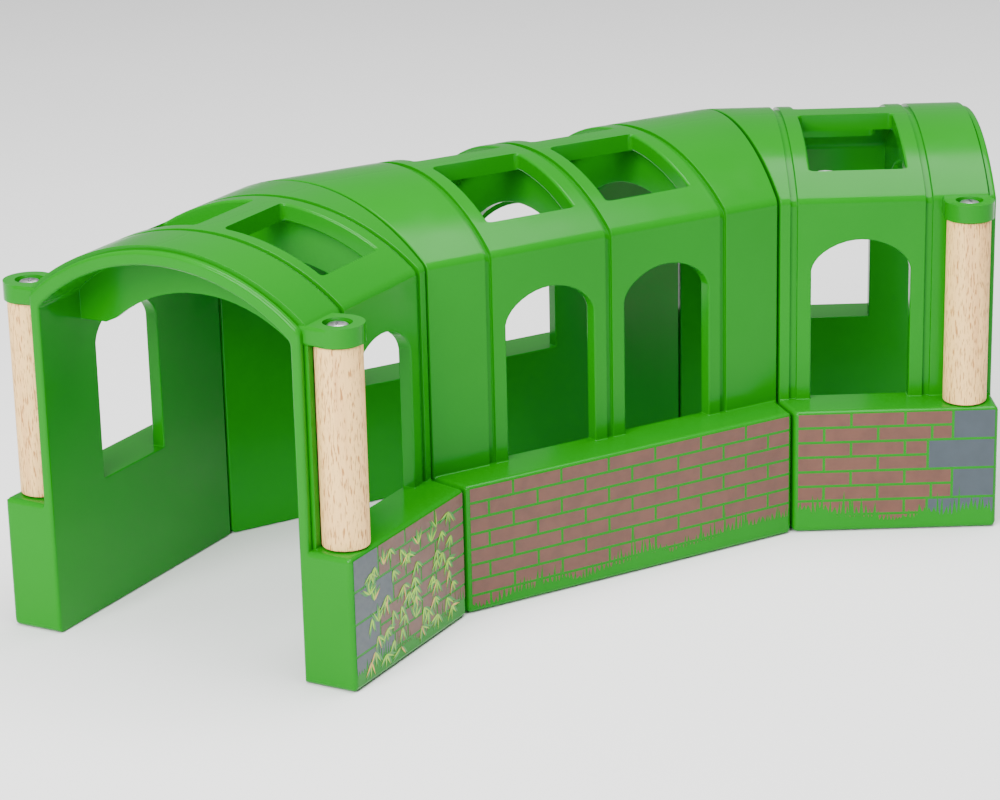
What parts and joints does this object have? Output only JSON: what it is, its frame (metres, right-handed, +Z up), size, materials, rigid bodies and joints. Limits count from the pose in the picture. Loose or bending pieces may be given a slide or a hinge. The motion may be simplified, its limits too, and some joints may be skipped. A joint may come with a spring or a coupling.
{
  "type": "toy railway tunnel",
  "caption": "Toy railway tunnel of green plastic in mitred sections, with an arched roof, side windows, skylights and beech posts at its portals.",
  "frame": {"origin": "centre of the footprint on the floor, with the sections closed into their bend", "axes": "+X along the middle section from the front section to the rear one, -Y to the inside of the bend, +Z up"},
  "size_m": [0.3322, 0.1434, 0.116],
  "materials": {
    "green_plastic": "glossy moulded",
    "beech": "plain turned",
    "zinc": "zinc plated"
  },
  "bodies": {
    "middle_section": {"middle_section_shell": "green_plastic", "middle_inner_base_plate": "green_plastic", "middle_outer_base_plate": "green_plastic"},
    "front_section": {"front_section_shell": "green_plastic", "front_inner_base_plate": "green_plastic", "front_inner_post": "beech", "front_inner_post_top_screw": "zinc", "front_inner_post_base_screw": "zinc", "front_outer_base_plate": "green_plastic", "front_outer_post": "beech", "front_outer_post_top_screw": "zinc", "front_outer_post_base_screw": "zinc"},
    "rear_section": {"rear_section_shell": "green_plastic", "rear_inner_base_plate": "green_plastic", "rear_inner_post": "beech", "rear_inner_post_top_screw": "zinc", "rear_inner_post_base_screw": "zinc", "rear_outer_base_plate": "green_plastic", "rear_outer_post": "beech", "rear_outer_post_top_screw": "zinc", "rear_outer_post_base_screw": "zinc"}
  },
  "joints": [
    {"name": "front_swing", "type": "hinge", "parent": "middle_section", "child": "front_section", "pos_m": [-0.08693, 0.0717, 0], "axis": [0, 0, -1], "range_deg": [0, 30]},
    {"name": "rear_swing", "type": "hinge", "parent": "middle_section", "child": "rear_section", "pos_m": [0.08693, 0.0717, 0], "axis": [0, 0, 1], "range_deg": [0, 30]}
  ]
}
